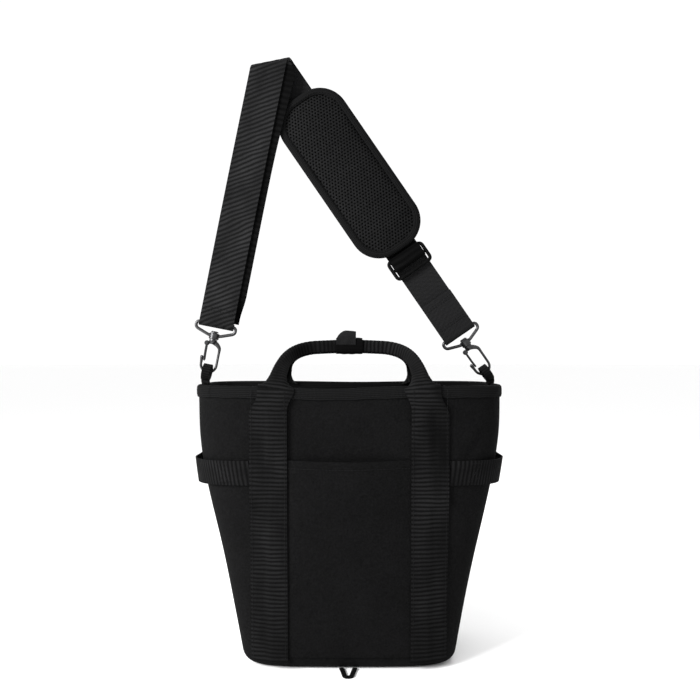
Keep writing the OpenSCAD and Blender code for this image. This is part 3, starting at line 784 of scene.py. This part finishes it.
def handle_mesh(shift, side):
    """One length of webbing up one leg, folded into the grip, and down the other. side 1 is the rear."""
    points, rise = handle_line(shift)
    middle = np.array(points + [np.array([-p[0], p[1], p[2]]) for p in reversed(points[:-1])])
    rise = rise + list(reversed(rise[:-1]))
    ways = directions(middle)
    count = len(middle)
    across, outward = [], []
    for i, k in enumerate(rise):
        blend = smooth(max(0.0, k) * 1.1)
        raw = np.array([(1 if i > count // 2 else -1) * (1 - blend), 0, blend])
        across.append(unit(raw - ways[i] * raw.dot(ways[i])))
        outward.append(np.cross(ways[i], across[i]))
    sections = {}

    def at(u, v, h):
        i = int(v)
        k = rise[i]
        fold = 0.12 * (1 + k) if k <= 0 else 0.12 + 0.88 * smooth(k / 0.52)
        key = (round(u, 3), round(fold, 4))
        if key not in sections:
            sections[key] = roll(-u, fold)
        x, y, turn = sections[key]
        lift = h + (rib(u, i * HANDLE_STEP) if h > 0 else 0)
        if k <= 0:
            x = middle[i][0] + across[i][0] * x
            return face_point(x, middle[i][2], leg_off(x, middle[i][2], side) + lift, -1)
        curl = smooth(k / 0.14)
        turn *= curl
        out = lift * cos(turn) - curl * y
        return middle[i] + across[i] * (x + lift * sin(turn)) + outward[i] * out

    verts, faces, uvs = sheet_mesh(at, steps(-WEB_W / 2, WEB_W / 2, 2.4), range(count), WEB_T)
    faces = faces if side < 0 else flipped(faces)
    return np.array(verts) * (1, -side, 1), faces, [(u, v * HANDLE_STEP) for u, v in uvs]


def add_handles():
    for name, side, shift in (("front", -1, 8.0), ("rear", 1, 1.5)):
        nodes = [f"{name}_{part}" for part in ("leg_left", "leg_right", "riser_left", "riser_right", "grip")]
        obj = new_object(f"handle_{name}", handle_mesh(shift, side), "webbing", None, *nodes)
        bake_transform(obj)
        lines = []
        for leg in (-LEG_X, LEG_X):
            for x in (leg - WEB_W / 2 + 2.2, leg + WEB_W / 2 - 2.2):
                lines.append([(face_point(x, z, leg_off(x, z, side) + 0.95, side), (0, side, 0))
                              for z in steps(12, BAG_H - 3, 3)])
        stitches(f"leg_stitches_{name}", lines, "bag")


# ---- wrap on the grips ----

def add_wrap():
    """Tape round both grips, and the flap that comes over its top and down its front."""
    outline = rounded([(-7.4, -6.9), (7.4, -6.9), (7.4, 7.4), (-7.4, 7.4)], 3.4, 5, closed=True)
    outline = resampled(outline, 1.2, closed=True)
    centre = outline.mean(0)

    def band(u, v, h):
        p = outline[int(u) % len(outline)]
        q = p + unit(p - centre) * (0.9 + h + 0.5 * cos(pi * v / 30) + 0.15 * sin(v * 0.7 + p[1]))
        return np.array([v + 0.4 * sin(p[0]), -q[0], GRIP_Z + 0.3 + q[1]])

    tube = sheet_mesh(band, range(len(outline)), steps(-14.2, 14.2, 1.0), 1.5, ring=True)
    # the wrap's tail stands up behind to the line where the flap turns
    tail = resampled(rounded([(8.9, 331.5), (9.3, 338.5), (8.6, 342.0), (7.0, 343.9)], 2.0, 4), 0.8)
    tail_ways = directions(tail)

    def root(u, v, h):
        p, w = tail[int(v)], tail_ways[int(v)]
        return np.array([-3.0 + u, p[0] - w[1] * h, p[1] + w[0] * h])

    rise = sheet_mesh(root, steps(-8.8, 10.5, 1.3), range(len(tail)), 1.2)
    verts, faces, uvs = joined([tube, rise])
    wrap = (verts, flipped(faces), [(u * 1.2, v) for u, v in uvs])
    # The band takes the darker copy of the tape: painted shade.
    new_object("grip_wrap", wrap, "wrap", "handles", "keeper_band", sharp=60)
    path = [(7.2, 343.9), (2.0, 345.0), (-3.5, 345.3), (-7.2, 344.0), (-9.1, 340.6)]
    path += [(-9.5, 337), (-9.3, 333.2)]
    path = resampled(rounded(path, 3.0, 5), 0.9)
    ways = directions(path)

    def flap(u, v, h):
        i = int(v)
        p, w = path[i], ways[i]
        n = np.array([w[1], -w[0]])
        fall = 1.0 if u < 0 else 0.4
        crown = 3.2 * (1 - fall * (u / 10.5) ** 2) * sin(pi * min(1.0, i / (0.72 * len(path))))
        ripple = 0.25 * sin(u * 0.5 + i * 0.3)
        q = p - n * (h - max(0.0, crown) - ripple * (i / len(path)))
        down = smooth((i / len(path) - 0.4) / 0.4)
        narrow = 0.7 + 0.38 * down if u < 0 else 1 - 0.04 * down
        return np.array([-3.0 + u * narrow, q[0], q[1]])

    # The flap takes the lighter copy of the tape: painted light on its top.
    sheet("wrap_flap", flap, steps(-10.5, 10.5, 1.3), range(len(path)), 1.2,
          "flap", "flap", "keeper_flap", uv_scale=(1, 0.9))
    rows = [seam(flap, [(u, len(path) - i) for u in steps(-8, 8, 1)], -0.6, -1) for i in (4, 8)]
    stitches("flap_stitches", rows, "flap", every=2.4, length=1.7, radius=0.25)


# ---- shoulder strap ----

def leg_frame(side):
    bar, tilt, y = (LEFT_BAR, LEFT_TILT, -BAR_Y) if side == "left" else (RIGHT_BAR, RIGHT_TILT, BAR_Y)
    origin = np.array([bar[0], y, bar[1]])
    x_way = np.array([cos(tilt), 0, -sin(tilt)])
    z_way = np.array([sin(tilt), 0, cos(tilt)])
    return origin, x_way, z_way


def on_leg(side, p):
    origin, x_way, z_way = leg_frame(side)
    return origin + x_way * p[0] + np.array([0, p[1], 0]) + z_way * p[2]


LINE = np.array([cos(FOLD_TILT), 0, -sin(FOLD_TILT)])
ACROSS = np.array([sin(FOLD_TILT), 0, cos(FOLD_TILT)])


def reach(side, r):
    shift = pi * Y_OUT / 2 * tan(FOLD_HALF) * np.array([LINE[0], LINE[2]])
    end = PEAK - shift - LEFT_BAR if side == "left" else PEAK + shift - RIGHT_BAR
    return float(norm(end)) + pi * r / 2 / cos(FOLD_HALF)


def fold_point(u, w, r, h):
    b = FOLD_HALF
    p = u * sin(b) + w * cos(b)
    e = u * cos(b) - w * sin(b)
    turn = max(-pi / 2, min(pi / 2, p / r))
    up = (r + h) * cos(turn) - max(0.0, abs(p) - pi * r / 2)
    return np.array([PEAK[0], -(r + h) * sin(turn), PEAK[1]]) + e * LINE + up * ACROSS


def turn_point(side, u, v, h):
    sign = 1 if side == "right" else -1
    a = min(pi, v / TURN_R)
    y = BAR_Y + (TURN_R + h) * cos(a)
    z = max(0.0, v - pi * TURN_R) - ((TURN_R + h) * sin(a) if a < pi else 0.0)
    origin, x_way, z_way = leg_frame(side)
    return np.array([origin[0], 0, origin[2]]) + x_way * u + z_way * z + np.array([0, sign * y, 0])


def add_strap():
    right, left = -reach("right", Y_OUT), reach("left", Y_OUT)
    half_turn = pi * TURN_R

    def main(u, w, h):
        h = ribbed(u, w, h)
        if w < right:
            return turn_point("right", u, right - w, h)
        if w > left:
            return turn_point("left", u, w - left, h)
        bow = 1.9 * sin(pi * clamp(w / left)) if w > 0 else 0.0
        p = fold_point(u, w, Y_OUT, h)
        p[1] -= bow
        return p

    ws = steps(right - half_turn - 46, left + half_turn + 3.2, STRAP_STEP)
    us = steps(-WEB_W / 2, WEB_W / 2, 2.7)
    sheet("strap_webbing", main, us, ws, WEB_T, "strap", "strap", "strap_main")
    left_in = reach("left", Y_IN)

    def shaded_under(u, w, h):
        h = ribbed(u, w, h)
        p = fold_point(u, w, Y_IN, h)
        z = left_in - w
        if w > 0:
            near = smooth((36 - z) / 28)
            p[1] += near * (TURN_R - BAR_Y + Y_IN)
            # the lower layer strays to the right of the upper one
            stray = (6.2 + 4.6 * exp(-((w / 70) ** 2))) * smooth((w + 10) / 26) * (1 - 0.5 * near)
            p = p + leg_frame("left")[1] * stray
            p[1] -= 1.2 * sin(pi * min(1, w / left_in))
        return p

    under_ws = steps(-reach("right", Y_IN) + 200, left_in - 3.4, STRAP_STEP)
    layer = sheet("strap_under", shaded_under, us, under_ws, WEB_T,
                  "strap", "strap", "strap_return")
    # Past the fold (w > 0) the lower layer takes the darker copy of the webbing: painted shade.
    layer.data.materials.append(MATERIAL["shaded_under"])
    along = layer.data.uv_layers["UVMap"].data
    for face in layer.data.polygons:
        face.material_index = int(along[face.loop_start].uv.y > 0.002)
    slider_y = Y_IN - SLIDER_BEND
    half = pi * SLIDER_BEND

    def tail(u, v, h):
        """v runs from the short end in front, round the bar, and up behind."""
        if v < TAIL:
            y, z = slider_y - SLIDER_BEND - h, TAIL - v
        elif v < TAIL + half:
            a = (v - TAIL) / SLIDER_BEND
            y, z = slider_y - (SLIDER_BEND + h) * cos(a), -(SLIDER_BEND + h) * sin(a)
        else:
            y, z = Y_IN + h, v - TAIL - half
        return on_leg("right", (u, y - BAR_Y, z + SLIDER_AT))

    # The tail takes the darker copy of the webbing: painted shade under the pad.
    sheet("slider_webbing", tail, us, steps(0, TAIL + half + 66, STRAP_STEP), WEB_T,
          "shaded_under", "slider", "slider_tail")
    row = steps(-16.5, 16.5, 1.5)
    rows = [[(on_leg("right", (u, -TURN_R - 1.0, z)), FORWARD) for u in row] for z in (38, 41, 12, 15)]
    rows += [[(main(u, left - z, 0.95), FORWARD) for u in row] for z in (14, 17)]
    stitches("strap_stitches", rows, "strap")


# ---- shoulder pad ----

def pad_limits(inset):
    """Corner radius of the outline at an inset, and the place (across, along) its corners turn about."""
    r = PAD_R - inset
    return r, PAD_W / 2 - inset - r, PAD_L / 2 - inset - r


def pad_outline(inset):
    """Points round the pad's outline, in the pad's own plane."""
    r, wide, tall = pad_limits(inset)
    points = []
    for x, z, start in ((wide, tall, 0), (-wide, tall, 90), (-wide, -tall, 180), (wide, -tall, 270)):
        for k in range(13):
            a = radians(start + 90 * k / 12)
            points.append((x + r * cos(a), z + r * sin(a)))
    return points


def inside_pad(x, z, inset):
    """Distance in from the outline, negative outside it."""
    r, wide, tall = pad_limits(inset)
    return r - hypot(max(0.0, abs(x) - wide), max(0.0, abs(z) - tall))


def pad_place(p):
    return on_leg("right", (p[0], p[1] - BAR_Y, p[2] + PAD_AT))


def pad_slab(inset, thick):
    """Flat closed slab in the pad's outline, thinner towards its edge."""
    outline = resampled(pad_outline(inset), 4.0, closed=True)
    n = len(outline)
    shares = (0.25, 0.5, 0.7, 0.85, 0.95, 1.0)
    edge = (len(shares) - 1) * n
    verts, faces = [], []
    for side in (-1, 1):
        base = len(verts)
        for share in shares:
            y = side * (thick / 2 * (1 - 0.55 * share**6))
            verts.extend((x * share, y, z * share) for x, z in outline)
        centre = len(verts)
        verts.append((0, side * thick / 2, 0))
        half = []
        for row in range(base, base + edge, n):
            for i in range(n):
                j = (i + 1) % n
                half.append((row + i, row + j, row + n + j, row + n + i))
        half.extend((base + i, base + (i + 1) % n, centre) for i in range(n))
        faces.extend(half if side > 0 else flipped(half))
    for i in range(n):
        j = (i + 1) % n
        faces.append((edge + i, edge + j, base + edge + j, base + edge + i))
    return verts, faces, None


def add_pad_core():
    """Foam that swells in a cloth simulation. Returns the height of its surface, which others lie on."""
    # The core takes the near-black foam: painted shade in the mesh holes.
    core = new_object("pad_core", pad_slab(4.5, 5.0), "foam", sharp=180)
    core.select_set(True)
    bpy.context.view_layer.objects.active = core
    remesh = core.modifiers.new("remesh", "REMESH")
    remesh.mode, remesh.voxel_size = "VOXEL", 0.0025
    bpy.ops.object.modifier_apply(modifier="remesh")
    rest = np.array([v.co[:] for v in core.data.vertices])
    cloth = core.modifiers.new("cloth", "CLOTH")
    settings = cloth.settings
    settings.use_pressure, settings.uniform_pressure_force = True, 4.0
    settings.effector_weights.gravity = 0
    settings.quality = 6
    cloth.point_cache.frame_end = 20
    for number in range(1, 21):
        bpy.context.scene.frame_set(number)
    bpy.ops.object.modifier_apply(modifier="cloth")
    bpy.context.scene.frame_set(1)
    now = np.array([v.co[:] for v in core.data.vertices])
    # cap each point's travel, more on the face than on the back, which lies against the webbing
    move = now - rest
    travel = norm(move, axis=1)
    crown = np.maximum(0, 1 - (rest[:, 0] / (PAD_W / 2 * MM)) ** 2)
    cap = np.where(rest[:, 1] < 0, 0.3 + 2.5 * crown, 0.8) * MM
    move *= np.minimum(1, cap / np.maximum(travel, 1e-9))[:, None]
    now = rest + move
    # a pad that hangs over the strap keeps a slow wave along it
    now[:, 1] += 0.3 * MM * np.sin(now[:, 2] / (14 * MM)) * np.where(now[:, 1] < 0, 1, 0)
    tree = BVHTree.FromPolygons([Vector(p) for p in now], [tuple(f.vertices) for f in core.data.polygons])
    placed = np.array([pad_place(p / MM) for p in now]) * MM
    core.data.vertices.foreach_set("co", placed.ravel())
    core.data.update()
    sub = core.modifiers.new("smooth", "SUBSURF")
    sub.levels = sub.render_levels = 1
    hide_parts("pad_foam")
    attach(core, "pad")

    def face_y(x, z, side):
        hit = tree.ray_cast(Vector((x * MM, side * 0.05, z * MM)), Vector((0, -side, 0)))
        return hit[0][1] / MM if hit[0] is not None else side * 2.0

    return face_y


def add_pad_face(face_y):
    """Air mesh: a lattice of round holes over the face."""
    pitch, row_share = 3.75, 0.866
    verts, faces, uvs, known = [], [], [], {}
    turns = [radians(60 * k + 30) for k in range(6)]

    def point(x, y, z):
        verts.append(pad_place((x, y, z)))
        uvs.append((x, z))
        return len(verts) - 1

    def corner(x, z):
        """Corner that a cell shares with its neighbours."""
        key = (round(x, 2), round(z, 2))
        if key not in known:
            keep = clamp(inside_pad(x, z, 2) / 5)
            known[key] = point(x, face_y(x, z, -1) - 0.95 * keep - 0.1, z)
        return known[key]

    rows = int(PAD_L / (pitch * row_share)) + 2
    for j in range(-rows // 2, rows // 2 + 1):
        for i in range(-14, 15):
            cx = i * pitch + (pitch / 2 if j % 2 else 0)
            cz = j * pitch * row_share
            if inside_pad(cx, cz, 5.2) < 0:
                continue
            size = pitch / sqrt(3)
            outer = [corner(cx + size * cos(a), cz + size * sin(a)) for a in turns]
            face = face_y(cx, cz, -1)
            lip, foot = [], []
            for a in turns:
                for ring, share, lift in ((lip, 0.34, 0.8), (foot, 0.30, 0.1)):
                    x, z = cx + pitch * share * cos(a), cz + pitch * share * 0.82 * sin(a)
                    ring.append(point(x, face - lift, z))
            for k in range(6):
                n = (k + 1) % 6
                faces.append((outer[k], lip[k], lip[n], outer[n]))
                faces.append((lip[k], foot[k], foot[n], lip[n]))
    new_object("pad_air_mesh", (verts, faces, uvs), "mesh", "pad", "pad_mesh", sharp=60)


def add_pad_back(face_y):
    """Backing cloth, just behind the core."""
    inset = 4.5
    r, wide, tall = pad_limits(inset)

    def at(x, z, h):
        if inside_pad(x, z, inset) < 0:
            dx, dz = max(0.0, abs(x) - wide), max(0.0, abs(z) - tall)
            far = hypot(dx, dz)
            x = copysign(wide + dx * r / far, x) if dx else x
            z = copysign(tall + dz * r / far, z) if dz else z
        y = min(4.1, face_y(x * 0.97, z * 0.985, 1) + 0.5)
        return pad_place((x, y + h, z))

    xs, zs = [steps(4 - size / 2, size / 2 - 4, 4) for size in (PAD_W, PAD_L)]
    sheet("pad_back", at, xs, zs, 0.6, "fabric", "pad", "pad_backing", flip=True)


def add_pad_edge():
    """Tape folded round the pad's edge, and its stitching."""
    profile = [
        (8.0, -3.3), (6.2, -4.1), (3.4, -4.2), (1.2, -3.3), (0.1, -1.2), (0.1, 1.2), (1.2, 3.3), (3.4, 4.2),
        (6.2, 4.3), (8.0, 4.2), (7.8, 2.6), (2.6, 2.2), (2.4, 0), (2.6, -2.2), (7.8, -2.3),
    ]
    base = resampled(pad_outline(0), 2.0, closed=True)
    around = len(base)
    inward = [np.array([-way[1], way[0]]) for way in directions(base, closed=True)]

    def belly(z):
        return -0.5 * sin(pi * (z + PAD_L / 2) / PAD_L)

    verts, uvs = [], []
    for i in range(around):
        pucker = 0.22 * sin(i * 1.1) + 0.15 * sin(i * 2.7 + 1)
        for k, (d, y) in enumerate(profile):
            x, z = base[i] + inward[i] * d
            swell = belly(z) if y < 0 and d > 3 else 0.0
            verts.append(pad_place((x, y + (pucker if d > 7 else 0) + swell, z)))
            uvs.append((k * 2.0, i * 2.0))
    tape = (verts, ring_faces(around, len(profile), flip=True), uvs)
    new_object("pad_edge", tape, "tape", "pad", "pad_binding", sharp=50)
    line = []
    for i in list(range(around)) + [0]:
        x, z = base[i] + inward[i] * 6.4
        line.append((pad_place((x, -4.35 + belly(z), z)), FORWARD))
    stitches("pad_stitches", [line], "pad")


def add_pad_loop(name, height):
    """Loop behind the pad that the webbing runs in."""
    top = Y_OUT + 1.7
    path = [(-29, 4.75), (-21.6, 4.95), (-21.2, top), (21.2, top), (21.6, 4.95), (29, 4.75)]
    path = resampled(rounded(path, 1.6, 5), 1.1)
    ways = directions(path)

    def at(u, v, h):
        p = path[v] + np.array([-ways[v][1], ways[v][0]]) * h
        return pad_place((p[0], p[1], height + u))

    sheet(f"pad_loop_{name}_tape", at, steps(-11, 11, 2), range(len(path)), 1.1,
          "webbing", "pad", f"pad_loop_{name}", uv_scale=(1, 1.1), flip=True)


# ---- metal ----

def add_clip(side):
    """Ring, swivel hook and sprung gate at one end of the strap."""

    def add(name, parts, body, node):
        verts, faces, uvs = joined(parts)
        verts = [on_leg(side, p) for p in verts]
        new_object(name, (verts, faces, uvs), "metal", body, node, sharp=35)

    wire = [(-22, 0, 0), (22, 0, 0), (22, 0, -7), (5.0, 0, -13.2), (-5.0, 0, -13.2), (-22, 0, -7)]
    wire = resampled(rounded(wire, 3.4, 6, closed=True), 1.4, closed=True)
    boss = [(2.5, -10), (4.9, -10), (5.5, -10.6), (5.5, -16.4), (4.9, -17), (2.5, -17)]
    ring = [sweep_mesh(wire, 1.75, 14, closed=True), lathe_mesh(boss)]
    add(f"ring_{side}_wire", ring, "strap", f"ring_{side}")

    path = rounded([(0.3, 0, -19.6), (4.6, 0, -21.6), (8.8, 0, -25.5), (8.8, 0, BEND_Z)], 4, 8)
    for a in np.linspace(0, pi, 24)[1:]:
        path.append((0.2 + BEND_R * cos(a), 0, BEND_Z - BEND_R * sin(a)))
    path = resampled(path + [(-8.5, 0, -42), (-8.9, 0, -38.0)], 1.2)
    n = len(path)
    radii = [2.9 - 1.5 * smooth(i / (0.25 * n)) + 0.5 * smooth((i / n - 0.86) / 0.14) for i in range(n)]
    swivel = [
        (0.01, -7.9), (3.2, -7.9), (4.0, -8.6), (4.0, -9.6), (2.45, -9.65), (2.45, -17.3), (4.3, -17.3),
        (4.4, -18), (4.4, -20.6), (3.2, -22.4), (0.01, -22.6),
    ]
    lug = [(0.01, -1.5), (2.5, -1.5), (2.8, -1.2), (2.8, 1.2), (2.5, 1.5), (0.01, 1.5)]
    lug = lathe_mesh(lug, lambda p: np.array([p[0] + PIN_X, -p[2], p[1] + PIN_Z]), 28)
    hook = [sweep_mesh(path, radii, 16), lathe_mesh(swivel), lug]
    add(f"hook_{side}_body", hook, f"hook_{side}", f"hook_{side}")

    eye = 2.7
    wire = [(PIN_X, eye, -23.5), (-6.0, eye, -34), (-5.6, eye - 0.4, -41)]
    wire += [(x, -y, z) for x, y, z in reversed(wire)]
    parts = [sweep_mesh(resampled(rounded(wire, 1.6, 6), 0.8), 0.9, 10)]
    loop = [(1.05, -0.9), (1.8, -0.9), (2.0, -0.7), (2.0, 0.7), (1.8, 0.9), (1.05, 0.9)]
    for y in (-eye, eye):
        parts.append(lathe_mesh(loop, lambda p: np.array([p[0] + PIN_X, y - p[2], p[1] + PIN_Z]), 24))
    add(f"gate_{side}_wire", parts, f"gate_{side}", f"gate_{side}")


def add_slider():
    wire = rounded([(-22, 0, -11), (22, 0, -11), (22, 0, 11), (-22, 0, 11)], 4.5, 7, closed=True)
    verts, faces, uvs = sweep_mesh(resampled(wire, 1.5, closed=True), 2.0, 14, closed=True)
    y = Y_IN - SLIDER_BEND - BAR_Y
    verts = [on_leg("right", (p[0], p[1] * 0.85 + y, p[2] + SLIDER_AT)) for p in verts]
    # The slider takes the near-black metal: a dark finish with painted shade under the pad.
    new_object("slider_loop", (verts, faces, uvs), "shaded_black_metal", "slider", "slider_frame", sharp=35)


def dress(node, look):
    """A procedural material for a CAD node that is kept."""
    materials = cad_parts[node].data.materials
    materials.clear()
    materials.append(MATERIAL[look])


# ---- loops of tape ----

def add_side_tab(side, face, middle):
    """Doubled tape from inside a gusset up round the hook's bend, with a half twist above the rim."""
    _, lean, up = leg_frame(side)
    eye = on_leg(side, (0, 0, BEND_Z - BEND_R))
    loop_r = 8.4
    foot = face * (abs(wall(middle, BAG_H - 8, -WALL_T - 1.8)[0]) - 1.8)
    neck = eye - up * loop_r
    stations = []
    for z in steps(264, neck[2], 2.0):
        rise = smooth((z - 279) / (neck[2] - 279))
        turn = pi / 2 * (1 - smooth((z - 282) / (neck[2] - 282)))
        stations.append((np.array([foot + (neck[0] - foot) * rise, eye[1], z]), turn, 0.95, rise))
    for a in np.linspace(radians(-62), pi / 2, 28):
        stations.append((eye + up * loop_r * sin(a), 0.0, loop_r * cos(a), 1.0))
    path, across = [], []
    for sign in (-1, 1):
        for centre, turn, out, rise in stations if sign < 0 else stations[-2::-1]:
            width = np.array([1.0, 0, 0]) * (1 - rise) + lean * rise
            width = unit(width) * cos(turn) + np.array([0, sin(turn) * face, 0])
            normal = np.array([-sin(turn) * face, cos(turn), 0])
            path.append(centre + normal * sign * out)
            across.append(unit(width))
    ways = directions(path)

    def at(u, v, h):
        a = unit(across[v] - ways[v] * across[v].dot(ways[v]))
        return path[v] + a * u + np.cross(ways[v], a) * h

    sheet(f"tab_{side}", at, steps(-4.4, 4.4, 1.5), range(len(path)), 1.5,
          "webbing", "bag", f"side_tab_{side}", uv_scale=(1, 1.4))


def add_base_loop():
    path = [(-8.0, -57, 1.2), (-6.4, -64, 1.0), (-4.2, -77, 0.95)]
    path += [(-2.0 - x, y, z) for x, y, z in reversed(path)]
    path = resampled(rounded(path, 3.0, 7), 1.0)
    ways = directions(path)

    def at(u, v, h):
        return path[v] + unit(np.cross(ways[v], (0, 0, 1))) * u + np.array([0, 0, h])

    sheet("base_tape_loop", at, steps(-2.3, 2.3, 0.9), range(len(path)), 1.4,
          "webbing", "base_loop", "base_loop")


add_camera()
add_studio()
add_walls()
add_base()
add_binding()
add_pocket()
add_side_band("right", 1, 1.5)
add_side_band("left", -1, 3.5)
add_handles()
add_wrap()
add_strap()
pad_surface = add_pad_core()
add_pad_face(pad_surface)
add_pad_back(pad_surface)
add_pad_edge()
add_pad_loop("upper", 60)
add_pad_loop("lower", -60)
for side in ("left", "right"):
    add_clip(side)
add_slider()
add_side_tab("left", -1, 3.5)
add_side_tab("right", 1, 1.5)
add_base_loop()
for side in ("left", "right"):
    dress(f"gate_pin_{side}", "metal")
for half in ("loop", "hook"):
    dress(f"keeper_{half}_patch", "closure")
dress("slider_bar", "shaded_black_metal")
dress("base_board", "board")

[[list(corner) for corner in box] for box in (cad_box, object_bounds())]
